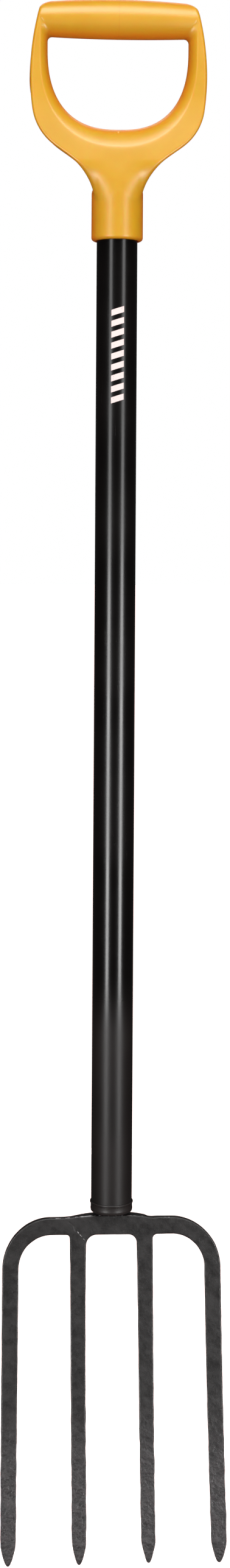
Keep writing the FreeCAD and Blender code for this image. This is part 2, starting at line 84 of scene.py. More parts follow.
def smoothstep(low, high, value):
    """Zero at low and one at high, which may be the lesser of the two."""
    t = np.clip((value - low) / (high - low), 0.0, 1.0)
    return t * t * (3.0 - 2.0 * t)


def ramp(value, softness):
    """Zero below zero and the value itself above, with a soft start."""
    return 0.5 * (value + np.sqrt(value * value + softness * softness))


def both(a, b, radius):
    """What is inside both shapes, with its edge rounded."""
    inner = np.minimum(np.maximum(a, b), -radius)
    return inner + np.hypot(np.maximum(a + radius, 0.0), np.maximum(b + radius, 0.0))


def either(a, b, radius):
    """What is inside either shape, with the inside corner filleted."""
    outer = np.maximum(np.minimum(a, b), radius)
    return outer - np.hypot(np.maximum(radius - a, 0.0), np.maximum(radius - b, 0.0))


def superellipse(x, down, half_width, half_height, power):
    """Distance-like measure to the lower half of a superellipse that goes straight up from its middle."""
    across = np.maximum(np.abs(x), 0.5)
    down = np.maximum(down, 0.0)
    total = (across / half_width) ** power + (down / half_height) ** power
    level = total ** (1.0 / power)
    steep = np.hypot(
        (across / half_width) ** (power - 1.0) / half_width,
        (down / half_height) ** (power - 1.0) / half_height,
    )
    return (level - 1.0) * level ** (power - 1.0) / np.maximum(steep, 1e-6)


def arc_across(start, end, radius, level):
    """Half-width, at a level, of the arc between two (across, level) points. Minus bends it inwards."""
    start, end = np.array(start), np.array(end)
    chord = end - start
    length = math.hypot(*chord)
    rise = math.sqrt(radius * radius - length * length / 4.0)
    inward = np.array([chord[1], -chord[0]]) / length * math.copysign(rise, radius)
    centre = (start + end) / 2.0 + inward
    reach = np.sqrt(np.maximum(radius * radius - (level - centre[1]) ** 2, 0.0))
    return centre[0] + math.copysign(1.0, radius) * reach


# ---------------------------------------------------------------- meshes

CORNERS = [(i, j, k) for i in (0, 1) for j in (0, 1) for k in (0, 1)]
LAYERS_AT_ONCE = 24
SETTLING_ROUNDS = 3


def next_along(axis, corner=(0, 0, 0)):
    """The grid corner one step further along an axis."""
    return tuple(1 if i == axis else corner[i] for i in range(3))


def sampled(field, low, high, step):
    """The field's values on a grid that goes two steps past the box, and where that grid starts."""
    low, high = np.array(low, float) - 2 * step, np.array(high, float) + 2 * step
    counts = np.ceil((high - low) / step).astype(int) + 1
    xs, ys, zs = (low[a] + step * np.arange(counts[a]) for a in range(3))
    values = np.empty(counts, np.float32)
    for k in range(0, counts[2], LAYERS_AT_ONCE):
        layers = slice(k, k + LAYERS_AT_ONCE)
        values[:, :, layers] = field(*np.meshgrid(xs, ys, zs[layers], indexing="ij"))
    return values, low


def crossed_cells(inside):
    """The cells that the surface crosses, and a grid with each one's number, or minus one elsewhere."""
    filled = 0
    for corner in CORNERS:
        part = tuple(slice(o, inside.shape[a] - 1 + o) for a, o in enumerate(corner))
        filled = filled + inside[part].astype(np.int8)
    cells = np.argwhere((filled > 0) & (filled < len(CORNERS)))
    number = np.full(filled.shape, -1, np.int32)
    number[tuple(cells.T)] = np.arange(len(cells))
    return cells, number


def cell_points(values, cells, low, step):
    """In each of the cells, the middle of the points where the surface cuts the cell's edges."""
    total = np.zeros((len(cells), 3))
    cuts = np.zeros(len(cells))
    for a in CORNERS:
        for axis in range(3):
            if a[axis]:
                continue
            b = next_along(axis, a)
            va = values[tuple((cells + a).T)]
            vb = values[tuple((cells + b).T)]
            cut = (va < 0.0) != (vb < 0.0)
            share = np.where(cut, va / np.where(cut, va - vb, 1.0), 0.0)
            point = cells + np.array(a) + share[:, None] * np.eye(3)[axis]
            total += point * cut[:, None]
            cuts += cut
    return low + step * total / cuts[:, None]


def crossing_quads(inside, number):
    """A face across each grid edge that the surface cuts, with its corners in the four cells around it."""
    quads = []
    for axis in range(3):
        u, v = (axis + 1) % 3, (axis + 2) % 3
        ahead = next_along(axis)
        here = inside[tuple(slice(0, inside.shape[i] - ahead[i]) for i in range(3))]
        there = inside[tuple(slice(ahead[i], inside.shape[i]) for i in range(3))]
        for flips, mask in ((False, here & ~there), (True, there & ~here)):
            at = np.argwhere(mask)
            at = at[(at[:, u] > 0) & (at[:, v] > 0)]
            ring = []
            for du, dv in ((-1, -1), (0, -1), (0, 0), (-1, 0)):
                cell = at.copy()
                cell[:, u] += du
                cell[:, v] += dv
                ring.append(number[tuple(cell.T)])
            ring = np.stack(ring[::-1] if flips else ring, axis=1)
            quads.append(ring[(ring >= 0).all(axis=1)])
    return np.concatenate(quads)


def surface_mesh(name, field, low, high, step):
    """Mesh the zero surface of a field with one vertex per grid cell that it crosses (surface nets).

    The vertices are then evened out and drawn onto the true surface, and take their normals from it.
    """
    values, start = sampled(field, low, high, step)
    inside = values < 0.0
    cells, number = crossed_cells(inside)
    points = cell_points(values, cells, start, step)
    quads = crossing_quads(inside, number)
    for _ in range(SETTLING_ROUNDS):
        points = evened(points, quads)
        points = drawn_on(points, field, step)
    points = drawn_on(points, field, step)

    mesh = bpy.data.meshes.new(name)
    mesh.vertices.add(len(points))
    mesh.vertices.foreach_set("co", (points * MM).astype(np.float32).ravel())
    mesh.loops.add(quads.size)
    mesh.loops.foreach_set("vertex_index", quads.astype(np.int32).ravel())
    mesh.polygons.add(len(quads))
    mesh.polygons.foreach_set("loop_start", np.arange(0, quads.size, 4, dtype=np.int32))
    mesh.update(calc_edges=True)
    mesh.validate()
    mesh.polygons.foreach_set("use_smooth", np.ones(len(mesh.polygons), bool))
    mesh.normals_split_custom_set_from_vertices(slope(points, field)[1].astype(np.float32))
    return linked(name, mesh)


def evened(points, quads):
    """Each vertex moved halfway to the middle of its neighbours."""
    total = np.zeros_like(points)
    count = np.zeros(len(points))
    for shift in (1, 3):
        beside = np.roll(quads, shift, axis=1)
        for side in range(4):
            np.add.at(total, quads[:, side], points[beside[:, side]])
            np.add.at(count, quads[:, side], 1.0)
    return 0.5 * points + 0.5 * total / np.maximum(count, 1.0)[:, None]


def slope(points, field, reach=0.05):
    """The field's steepness and its direction at each point."""
    gradient = np.empty_like(points)
    for axis in range(3):
        offset = np.zeros(3)
        offset[axis] = reach
        gradient[:, axis] = (field(*(points + offset).T) - field(*(points - offset).T)) / (2 * reach)
    steep = np.maximum(np.linalg.norm(gradient, axis=1), 1e-3)
    return steep, gradient / steep[:, None]


def drawn_on(points, field, step):
    """The points moved along the slope onto the zero surface."""
    steep, direction = slope(points, field)
    move = np.clip(field(*points.T) / steep, -step, step)
    return points - direction * move[:, None]


def linked(name, mesh):
    piece = bpy.data.objects.new(name, mesh)
    bpy.context.scene.collection.objects.link(piece)
    return piece


def turned(name, profile, segments=144):
    """Turn a closed profile of (radius, level) points, in millimetres, about the Z axis."""
    turns = np.linspace(0.0, 2.0 * math.pi, segments, endpoint=False)
    verts = [(r * math.cos(a) * MM, r * math.sin(a) * MM, z * MM) for r, z in profile for a in turns]
    faces = []
    for row in range(len(profile)):
        low, high = row * segments, (row + 1) % len(profile) * segments
        for i in range(segments):
            j = (i + 1) % segments
            faces.append((low + i, low + j, high + j, high + i))
    mesh = bpy.data.meshes.new(name)
    mesh.from_pydata(verts, [], faces)
    mesh.polygons.foreach_set("use_smooth", [True] * len(mesh.polygons))
    mesh.update()
    return linked(name, mesh)


def rounded(points, radius, steps=4):
    """A closed profile with each of its corners rounded off by a short arc."""
    result = []
    count = len(points)
    for index in range(count):
        before, corner, after = (np.array(points[(index + k) % count], float) for k in (-1, 0, 1))
        ends = []
        for other in (before, after):
            run = other - corner
            length = np.linalg.norm(run)
            ends.append(corner + run / length * min(radius, 0.45 * length))
        for step in range(steps + 1):
            t = step / steps
            point = (1 - t) ** 2 * ends[0] + 2 * t * (1 - t) * corner + t**2 * ends[1]
            result.append((float(point[0]), float(point[1])))
    return result


# ---------------------------------------------------------------- handle

# The outline from the front. Its points are (across, level), and a pair of levels, here and below, is
# where one shape turns into the next.
SIDE_RADIUS = 205.0
SIDE_LEVEL = -47.0
SIDE_INSET = 0.5
SIDE_TURN_LEVEL = -74.5
ELBOW_RADIUS = 43.7
YOKE_TURN = (48.7, -103.2)
THROAT_TURN = (37.9, -110.9)
THROAT_RADIUS = 52.0
THROAT_END = (17.2, -149.5)
EVENING_OFFSETS = (-3.0, -1.5, 0.0, 1.5, 3.0)
CORNER_LEVEL = 6.5
CORNER_CURVE = 0.09

# The hand opening, and the lip that flares out around it.
WINDOW_HALF_WIDTH = 55.4
WINDOW_BEND_LEVEL = -21.5
WINDOW_FLOOR = -86.5
WINDOW_POWER = 2.5
LIP_HALF_WIDTH = 61.4
LIP_BEND_LEVEL = -33.0
LIP_FLOOR = -102.2
LIP_POWER = 2.2
LIP_CREASE = 0.4
LIP_NARROWEST = 3.0
LIP_SOFTNESS = 0.05
LIP_STEEPNESS = 11.0

# The depth from front to back.
COLLAR_SKIN = COLLAR_RADIUS - 0.1
ARM_HALF_DEPTH = 13.0
ARM_EDGE = 2.7
ARM_TO_BAR = (-30.0, -4.0)
ARM_TO_YOKE = (-60.0, -139.0)
THROAT_TO_COLLAR = (-139.0, -150.0)
THROAT_SINK = 0.3
FLAT_TO_ROUND = (-112.0, -150.0)
ROUND_SHARE = 0.8
BACK_DRAFT = 5.2
DRAFT_BEGINS = (-45.0, -92.0)
DRAFT_ENDS = (-146.0, -126.0)
SLAB_FOOT = -150.5

# The grip bar, the collar and the small features.
BAR_SKIN = BAR_RADIUS - 0.1
BAR_END_RADIUS = 13.4
BAR_END_SINK = 0.25
BAR_DROP = 0.7
BAR_REACH = 61.0
BAR_INSET = 4.0
BAR_INSET_LEVELS = (1.0, -6.0)
BAR_FILLET = 3.8
BAR_FILLET_LEVELS = (0.0, -14.0)
COLLAR_TOP = -112.0
COLLAR_TAPER = 12.0
COLLAR_TAPER_LEVELS = (-137.0, -118.0)
COLLAR_RIM = 2.6
SEAM_FILLET = 0.2
GATE_LEVEL = -89.0
GATE_WIDTH = 0.9
GATE_HEIGHT = 0.45
BORE_GAP = 0.15
SOCKET_EDGE = 0.5
SCREW_HOLE_RADIUS = 2.2
SCREW_HOLE_START = 10.0
SCREW_HOLE_EDGE = 0.3
GRIP_CELL = 0.9


def side_half_width(level):
    """Half-width of the handle along its gently bowed arms."""
    return HANDLE_HIGH[0] - SIDE_INSET - SIDE_RADIUS + np.sqrt(SIDE_RADIUS**2 - (level - SIDE_LEVEL) ** 2)


def handle_half_width(level):
    """Half-width of the handle's outline, evened out over a few millimetres so that no joint shows."""
    total = 0.0
    side_turn = (side_half_width(SIDE_TURN_LEVEL), SIDE_TURN_LEVEL)
    slant = (YOKE_TURN[0] - THROAT_TURN[0]) / (YOKE_TURN[1] - THROAT_TURN[1])
    for offset in EVENING_OFFSETS:
        z = level + offset
        side = side_half_width(z)
        elbow = arc_across(side_turn, YOKE_TURN, ELBOW_RADIUS, z)
        yoke = THROAT_TURN[0] + (z - THROAT_TURN[1]) * slant
        throat = arc_across(THROAT_TURN, THROAT_END, -THROAT_RADIUS, z)
        total = total + np.select(
            [z > SIDE_TURN_LEVEL, z > YOKE_TURN[1], z > THROAT_TURN[1], z > THROAT_END[1]],
            [side, elbow, yoke, throat],
            THROAT_END[0],
        )
    corner = CORNER_CURVE * np.maximum(level - CORNER_LEVEL, 0.0) ** 2
    return total / len(EVENING_OFFSETS) - corner


def handle_half_depth(x, z):
    """Half-depth of the handle: flat across the arms, and the collar's circle at the foot of the throat."""
    flat = (
        ARM_HALF_DEPTH
        + (BAR_END_RADIUS - BAR_END_SINK - ARM_HALF_DEPTH) * smoothstep(*ARM_TO_BAR, z)
        + (COLLAR_SKIN - ARM_HALF_DEPTH) * smoothstep(*ARM_TO_YOKE, z)
    )
    radius = COLLAR_SKIN - THROAT_SINK * smoothstep(*THROAT_TO_COLLAR, z)
    limit = ROUND_SHARE * radius
    tangent = ROUND_SHARE / math.sqrt(1.0 - ROUND_SHARE**2)
    circle = np.sqrt(radius**2 - np.minimum(x, limit) ** 2) - tangent * np.maximum(x - limit, 0.0)
    return flat + (circle - flat) * smoothstep(*FLAT_TO_ROUND, z)


def around_the_opening(x, y, z, half_depth):
    """What the hand opening leaves, with its side flaring out to the lip at the front and the back."""
    window = superellipse(
        x, WINDOW_BEND_LEVEL - z, WINDOW_HALF_WIDTH, WINDOW_BEND_LEVEL - WINDOW_FLOOR, WINDOW_POWER
    )
    lip = -superellipse(x, LIP_BEND_LEVEL - z, LIP_HALF_WIDTH, LIP_BEND_LEVEL - LIP_FLOOR, LIP_POWER)
    share = ramp(lip / np.maximum(window + lip, LIP_NARROWEST), LIP_SOFTNESS)
    inwards = LIP_CREASE + (1.0 - LIP_CREASE) * share
    outwards = y / half_depth * math.sqrt(1.0 - LIP_CREASE**2)
    return LIP_STEEPNESS * (np.hypot(inwards, outwards) - 1.0)


def grip_bar(x, y, z, outline):
    """The bar, thinner and lower towards its ends, which stay inside the arms."""
    towards_end = np.minimum(x / BAR_REACH, 1.0) ** 2
    radius = BAR_SKIN - (BAR_RADIUS - BAR_END_RADIUS) * towards_end
    bar = np.hypot(y, z + BAR_DROP * towards_end) - radius
    return both(bar, outline + BAR_INSET * smoothstep(*BAR_INSET_LEVELS, z), ARM_EDGE)


def screw_hole(x, z, back):
    """The countersunk hole in the collar's back."""
    radius = (SCREW_HIGH[0] - SCREW_LOW[0]) / 2.0 + BORE_GAP
    level = (SCREW_HIGH[2] + SCREW_LOW[2]) / 2.0
    sink = np.clip(radius + back - SCREW_HIGH[1], SCREW_HOLE_RADIUS, radius)
    return np.maximum(np.hypot(x, z - level) - sink, SCREW_HOLE_START - back)


def handle_field(x, y, z):
    """The whole handle. It is alike on the left and the right, but not on the front and the back."""
    back = y
    x, y = np.abs(x), np.abs(y)
    half_depth = handle_half_depth(x, z)

    lean = handle_half_width(z + 0.5) - handle_half_width(z - 0.5)
    outline = (x - handle_half_width(z)) / np.sqrt(1.0 + lean * lean)
    drafted = smoothstep(*DRAFT_BEGINS, z) * smoothstep(*DRAFT_ENDS, z)
    outline = outline + BACK_DRAFT * drafted * np.clip(0.5 + 0.5 * back / half_depth, 0.0, 1.0)

    above = z + BAR_DROP
    depth = np.where(above > 0.0, np.hypot(y, above), y) - half_depth
    slab = np.maximum(both(outline, depth, ARM_EDGE), SLAB_FOOT - z)
    slab = np.maximum(slab, around_the_opening(x, y, z, half_depth))
    fillet = SEAM_FILLET + BAR_FILLET * smoothstep(*BAR_FILLET_LEVELS, z)
    shape = either(slab, grip_bar(x, y, z, outline), fillet)

    round_the_shaft = np.hypot(x, y)
    collar_radius = COLLAR_SKIN - COLLAR_TAPER * smoothstep(*COLLAR_TAPER_LEVELS, z)
    collar = both(round_the_shaft - collar_radius, COLLAR_FOOT - z, COLLAR_RIM)
    shape = either(shape, np.maximum(collar, z - COLLAR_TOP), SEAM_FILLET)

    from_gate = (x**2 + (z - GATE_LEVEL) ** 2) / GATE_WIDTH**2
    shape = shape - GATE_HEIGHT * np.exp(-from_gate) * (back < 0.0)

    socket = np.maximum(round_the_shaft - TUBE_RADIUS - BORE_GAP, z - TUBE_HIGH[2])
    shape = both(shape, -socket, SOCKET_EDGE)
    return both(shape, -screw_hole(x, z, back), SCREW_HOLE_EDGE)


def make_grip():
    cell = GRIP_CELL
    return surface_mesh("grip", handle_field, HANDLE_LOW, HANDLE_HIGH, cell)


# ---------------------------------------------------------------- forged head

# The tines and the crossbar from the front. The outer tines and the crossbar are one bent bar, and the
# inner tines hang under it.
BEND_RADIUS = 38.0
BEND_LEVEL = -976.6
OUTER_TINE = 79.0
OUTER_HALF_WIDTH = 6.4
OUTER_SPLAY = 1.1
OUTER_TAPER = 0.35
INNER_TINE = 26.375
INNER_HALF_WIDTH = 5.95
INNER_TAPER = 0.4
BETWEEN_TINES = 50.0
TINE_LENGTH = 190.0
ROOT_FLARE = 0.6
ROOT_FLARE_LENGTH = 25.0
POINT_LENGTH = 14.0
POINT_POWER = 0.55
POINT_LEAST = 0.25
TIP_RISES = {"left": 0.15, "inner_left": 0.4, "inner_right": 0.8, "right": 0.15}
TIP_EDGE = 1.2
CROSSBAR_MIDDLE = BEND_LEVEL + BEND_RADIUS - OUTER_HALF_WIDTH
CROSSBAR_FOOT = BEND_LEVEL + BEND_RADIUS - 2.0 * OUTER_HALF_WIDTH
CROSSBAR_RISE = 1.9
CROSSBAR_RISE_SPAN = (8.0, 44.0)
DENT_DEPTH = 0.6
DENT_ACROSS = 31.0
DENT_WIDTH = 4.0
MIDDLE_CORNERS = (8.0, 6.0)
SIDE_CORNERS = (2.4, 3.6)
CORNER_SPREAD = 3.0

# Their depth, measured square to the forward sweep.
SWEEP_LEVEL = -948.0
SWEEP_START = 0.123
SWEEP_GAIN = 0.00058
SWEEP_SOFTNESS = 4.0
SWEEP_LIMIT = 14.0
HEAD_SHIFT = 0.3
ROOT_HALF_DEPTH = 5.9
POINT_THINNING = 2.3
TIP_HALF_DEPTH = 1.3
BACK_NARROWING = 6.2
NARROWING_REACH = 0.85
BLADE_EDGE = 0.9

# The neck under the cap, and the web behind the crossbar.
NECK_TOP = -924.5
NECK_RADIUS = 14.7
NECK_SHOULDER = -934.6
NECK_FOOT = -941.0
NECK_FILLET = 0.8
STEM_RADIUS = 4.6
WEB_FRONT = -1.8
WEB_BACK = 10.6
WEB_HALF_WIDTH = 38.0
WEB_HEAD = -937.3
WEB_SAG = 0.0037
WEB_STEP = 2.0
WEB_STEP_SPAN = (26.0, 34.0)
WEB_FOOT = -949.0
WEB_FOOT_SLANT = 0.25
WEB_CORNER = 2.0
WEB_EDGE = 3.0
WEB_FILLET = 1.5

# The marks that forging left.
LAP_HEAD = (-33.0, -941.5)
LAP_FOOT = (-24.8, -950.9)
LAP_DEPTH = 0.12
LAP_WIDTH = 0.6
LAP_WAVER = 0.7
LAP_WAVE = 0.9
HAMMERING_WAVES = 9
HAMMERING_SHORTEST = 6.0
HAMMERING_LONGER = 3.6
HAMMERING_DEPTH = 0.09
HAMMERING_GAIN = 0.12
HAMMERING_LEVELS = (-1050.0, -1120.0)
HAMMERING_SINK = 0.3
GOLDEN_ANGLE = 2.399963
HEAD_CELL = 0.8

# The tang, inside the bush. The head's own mesh ends inside the neck, and the tang's starts there.
HEAD_TOP = TUBE_LOW[2] + 10.0
TANG_FOOT = TUBE_LOW[2] + 8.0
TANG_RADIUS = 9.9
TANG_WAIST_RADIUS = 7.4
TANG_WAIST_DOWN = 14.0
TANG_HEAD_RADIUS = 9.4
TANG_HEAD_DOWN = 11.0
TANG_CORE = 0.2
TANG_EDGE = 0.8


def hammering(x, y, z):
    """Uneven hammered surface, between about -1 and 1.

    It is a sum of waves. Their turns, tilts and phases only have to be unlike each other.
    """
    total = 0.0
    for index in range(HAMMERING_WAVES):
        turn = GOLDEN_ANGLE * index
        tilt = math.cos(1.7 * index + 0.6)
        flat = math.sqrt(1.0 - tilt * tilt)
        wave = 2.0 * math.pi / (HAMMERING_SHORTEST + HAMMERING_LONGER * index)
        along = x * flat * math.cos(turn) + y * flat * math.sin(turn) + z * tilt
        total = total + np.sin(wave * along + 1.3 * index) * (0.2 + 0.02 * index)
    return total


def off_line(x, z, start, end):
    """Distance, seen from the front, to the stretch between two (across, level) points."""
    run = (end[0] - start[0], end[1] - start[1])
    along = ((x - start[0]) * run[0] + (z - start[1]) * run[1]) / (run[0] ** 2 + run[1] ** 2)
    along = np.clip(along, 0.0, 1.0)
    return np.hypot(x - start[0] - along * run[0], z - start[1] - along * run[1])


def tip_level(right):
    """Level of the tip of the tine that is nearest. The worn tips differ a little."""
    rise = np.select(
        [right < -BETWEEN_TINES, right < 0.0, right < BETWEEN_TINES],
        [TIP_RISES["left"], TIP_RISES["inner_left"], TIP_RISES["inner_right"]],
        TIP_RISES["right"],
    )
    return HEAD_LOW[2] + rise


def bent_bar(right, z, down, full):
    """The outer tines and the crossbar between them, from the front."""
    x = np.abs(right)
    bend_x = OUTER_TINE + OUTER_HALF_WIDTH - BEND_RADIUS
    middle_radius = BEND_RADIUS - OUTER_HALF_WIDTH

    up = z - CROSSBAR_MIDDLE
    dent = DENT_DEPTH * np.exp(-(((right - DENT_ACROSS) / DENT_WIDTH) ** 2))
    top = OUTER_HALF_WIDTH + CROSSBAR_RISE * (1.0 - smoothstep(*CROSSBAR_RISE_SPAN, x)) - dent
    crossbar = np.maximum(up - top, -up - OUTER_HALF_WIDTH)
    bend = np.abs(np.hypot(x - bend_x, z - BEND_LEVEL) - middle_radius) - OUTER_HALF_WIDTH
    half_width = (OUTER_HALF_WIDTH - OUTER_TAPER * down) * full
    tine = np.abs(x - (OUTER_TINE + OUTER_SPLAY * down)) - half_width
    return np.where(z < BEND_LEVEL, tine, np.where(x < bend_x, crossbar, bend))


def inner_tine(right, z, down, full):
    """The inner tines from the front, each a little wider at its root."""
    root = ROOT_FLARE * np.exp(np.minimum(z - CROSSBAR_FOOT, 0.0) / ROOT_FLARE_LENGTH)
    half_width = (INNER_HALF_WIDTH - INNER_TAPER * down) * full + root
    centre = INNER_TINE - np.where(right > 0.0, root, 0.0)
    return np.maximum(np.abs(np.abs(right) - centre) - half_width, z - CROSSBAR_MIDDLE)


def blades(right, y, z):
    """Tines and crossbar: the view from the front, swept forward and narrower towards the back."""
    below = ramp(SWEEP_LEVEL - z, SWEEP_SOFTNESS)
    forward = SWEEP_START * np.maximum(SWEEP_LEVEL - z, -SWEEP_LIMIT) + SWEEP_GAIN * below**2
    pitch = SWEEP_START + 2.0 * SWEEP_GAIN * below
    depth = (y + forward + HEAD_SHIFT) / np.sqrt(1.0 + pitch * pitch)

    tip = tip_level(right)
    down = np.clip((BEND_LEVEL - z) / TINE_LENGTH, 0.0, 1.0)
    full = (np.clip(z - tip, POINT_LEAST, POINT_LENGTH) / POINT_LENGTH) ** POINT_POWER
    middle_corner = np.where(right < 0.0, *MIDDLE_CORNERS)
    side_corner = np.where(right < 0.0, *SIDE_CORNERS)
    to_middle = smoothstep(CORNER_SPREAD, -CORNER_SPREAD, np.abs(right) - INNER_TINE)
    corner = side_corner + (middle_corner - side_corner) * to_middle
    front_view = either(bent_bar(right, z, down, full), inner_tine(right, z, down, full), corner)
    front_view = both(front_view, tip - z, TIP_EDGE)

    half_depth = TIP_HALF_DEPTH + (ROOT_HALF_DEPTH - POINT_THINNING * down - TIP_HALF_DEPTH) * full
    towards_back = NARROWING_REACH * np.clip(0.5 + 0.5 * depth / half_depth, 0.0, 1.0)
    narrowing = BACK_NARROWING * full * (1.0 - np.sqrt(1.0 - towards_back**2))
    return both(front_view + narrowing, np.abs(depth) - half_depth, BLADE_EDGE)


def neck(x, y, z):
    """The round shoulder that fills the cap, and a thinner stem down into the crossbar."""
    round_the_neck = np.hypot(x, y)
    shoulder = np.maximum(round_the_neck - NECK_RADIUS, NECK_SHOULDER - z)
    stem = np.maximum(round_the_neck - STEM_RADIUS, NECK_FOOT - z)
    return np.maximum(np.minimum(shoulder, stem), z - NECK_TOP)


def web(right, y, z):
    """The thick web behind the middle of the crossbar."""
    top = WEB_HEAD - WEB_SAG * right**2 - WEB_STEP * smoothstep(*WEB_STEP_SPAN, right)
    plate = both(np.abs(right) - WEB_HALF_WIDTH, z - top, WEB_CORNER)
    off_middle = np.abs(y - (WEB_BACK + WEB_FRONT) / 2.0)
    plate = both(plate, off_middle - (WEB_BACK - WEB_FRONT) / 2.0, WEB_EDGE)
    return np.maximum(plate, WEB_FOOT - z + WEB_FOOT_SLANT * y)


def head_field(x, y, z):
    """The whole head up to the neck. Its left and right sides differ in small ways."""
    shape = either(blades(x, y, z), neck(x, y, z), NECK_FILLET)
    shape = either(shape, web(x, y, z), WEB_FILLET)

    off_lap = off_line(x + LAP_WAVER * np.sin(LAP_WAVE * z), z, LAP_HEAD, LAP_FOOT)
    lap = LAP_DEPTH * np.exp(-((off_lap / LAP_WIDTH) ** 2)) * (y < 0.0)
    uneven = HAMMERING_DEPTH + HAMMERING_GAIN * smoothstep(*HAMMERING_LEVELS, z)
    return shape + lap + uneven * (hammering(x, y, z) + HAMMERING_SINK)


def make_head():
    high = np.array([HEAD_HIGH[0], HEAD_HIGH[1], HEAD_TOP])
    cell = HEAD_CELL
    return surface_mesh("head", head_field, HEAD_LOW, high, cell)


def make_tang():
    """The tang inside the bush, with its waist and upset head."""
    top = HEAD_HIGH[2]
    outline = [
        (TANG_RADIUS, TANG_FOOT),
        (TANG_WAIST_RADIUS, top - TANG_WAIST_DOWN),
        (TANG_HEAD_RADIUS, top - TANG_HEAD_DOWN),
        (TANG_HEAD_RADIUS, top),
        (TANG_CORE, top),
        (TANG_CORE, TANG_FOOT),
    ]
    return turned("tang", rounded(outline, TANG_EDGE), segments=96)


# ---------------------------------------------------------------- ferrule cap

CAP_SINK = 0.05
CAP_BORE_GAP = 0.06
CAP_NECK_GAP = 0.2
CAP_FLOOR_GAP = 0.02
CAP_EDGE = 0.35
# Points of its outer side: how far inside the lip, and how far above the foot or below the rim.
CAP_CURL = ((2.1, 0.0), (0.75, 0.5), (0.35, 2.3), (0.55, 4.0))
CAP_LIP = ((0.55, 2.4), (0.35, 2.0), (0.45, 1.7), (0.0, 1.3), (0.0, 0.3), (0.3, 0.0))
CAP_CHAMFER = (0.1, 0.4)


def make_cap():
    """Thin cup around the tube's foot: a rolled lip, a shallow waist and a curled-in floor."""
    bore = TUBE_RADIUS + CAP_BORE_GAP
    hole = NECK_RADIUS + CAP_NECK_GAP
    lip = CAP_HIGH[0] - CAP_SINK
    top, foot, floor = CAP_HIGH[2], CAP_LOW[2], TUBE_LOW[2] - CAP_FLOOR_GAP
    outline = [(hole, foot)]
    outline += [(lip - inside, foot + above) for inside, above in CAP_CURL]
    outline += [(lip - inside, top - below) for inside, below in CAP_LIP]
    outline += [(bore + CAP_CHAMFER[0], top), (bore, top - CAP_CHAMFER[1]), (bore, floor), (hole, floor)]
    return turned("cap", rounded(outline, CAP_EDGE), segments=192)


# ---------------------------------------------------------------- printed mark

MARK_TOP = -226.0
MARK_FOOT = -302.0
MARK_WIDTH = 10.0
MARK_BARS = 9
MARK_BAR_SHARE = 0.55
MARK_SLANT = 3.2
MARK_SINK = 0.04
MARK_PROUD = 0.05
MARK_COLUMNS = 8


def make_mark():
    """A plain column of slanted bars printed on the tube's front, each a thin closed film."""
    pitch = (MARK_TOP - MARK_FOOT - MARK_SLANT) / (MARK_BARS - 1 + MARK_BAR_SHARE)
    verts, faces = [], []
    for bar in range(MARK_BARS):
        level = MARK_FOOT + bar * pitch
        base = len(verts)
        for column in range(MARK_COLUMNS + 1):
            share = column / MARK_COLUMNS
            turn = (share - 0.5) * MARK_WIDTH / TUBE_RADIUS
            for radius in (TUBE_RADIUS - MARK_SINK, TUBE_RADIUS + MARK_PROUD):
                for height in (0.0, MARK_BAR_SHARE * pitch):
                    z = level + MARK_SLANT * share + height
                    verts.append((radius * math.sin(turn) * MM, -radius * math.cos(turn) * MM, z * MM))
        for column in range(MARK_COLUMNS):
            a = base + 4 * column
            b = a + 4
            faces += [(a + 2, b + 2, b + 3, a + 3), (a, a + 1, b + 1, b), (a + 1, a + 3, b + 3, b + 1)]
            faces += [(a, b, b + 2, a + 2)]
        last = base + 4 * MARK_COLUMNS
        faces += [(base, base + 2, base + 3, base + 1), (last, last + 1, last + 3, last + 2)]
    mesh = bpy.data.meshes.new("mark")
    mesh.from_pydata(verts, [], faces)
    mesh.update()
    return linked("mark", mesh)


# ---------------------------------------------------------------- materials

# Places here are in metres, as the shaders see them. A pair of them is where one finish turns into the
# next, and a pair of greys is the darkest and the lightest of a cloudy finish.
CLOUDS = (0.3, 0.7)
ORANGE = (0.485, 0.304, 0.010, 1.0)
ORANGE_CLOUD = (0.51, 0.323, 0.014, 1.0)
# A redder orange, painted on the flanks as shade where the light falls off towards the sides.
ORANGE_PAINTED_SHADE = (0.58, 0.20, 0.006, 1.0)
ORANGE_WELD = (0.42, 0.17, 0.004, 1.0)
PAINTED_SHADE_DEPTHS = (0.0125, 0.005)
PAINTED_SHADE_SHARE = 0.75
WELD_HALF_WIDTHS = (0.0006, 0.0001)
WELD_LEVELS = (-0.0150, -0.0146)
CAP_GREYS = (0.010, 0.016)
BUSH_GREYS = (0.02, 0.03)
TUBE_GREYS = (0.0015, 0.003)
DULL_GREYS = (0.007, 0.010)
DULL_ROUGHER = 0.18
TUBE_DULL_LEVELS = (-0.745, -0.805)
LACQUER_GREYS = (0.005, 0.008)
LACQUER_LEVELS = (-1.06, -1.14)
# The lower tines' greys: hammer scale, painted paler as well for the light that the swept tines catch from
# above.
SCALE_AND_PAINTED_LIGHT_DARK = (0.010, 0.011, 0.012, 1.0)
SCALE_AND_PAINTED_LIGHT_PALE = (0.032, 0.034, 0.037, 1.0)
# Bare steel in chips and nicks; along the crossbar's front top edge it is also a painted highlight on the
# rounded edge.
BARE_STEEL_AND_HIGHLIGHT = (0.36, 0.43, 0.46, 1.0)
CHIP_AND_HIGHLIGHT_HALF_WIDTHS = (0.00035, 0.0001)
CROSSBAR_BROW = (0.008, 0.044)
CROSSBAR_CHIPS_AND_HIGHLIGHT_END = (0.052, 0.046)
CROSSBAR_FRONT = (-0.0036, -0.0043)
LAP_CHIPS_END = (0.0065, 0.004)
LAP_FRONT = (0.0, -0.002)
INK_GREYS = (0.2, 0.62)


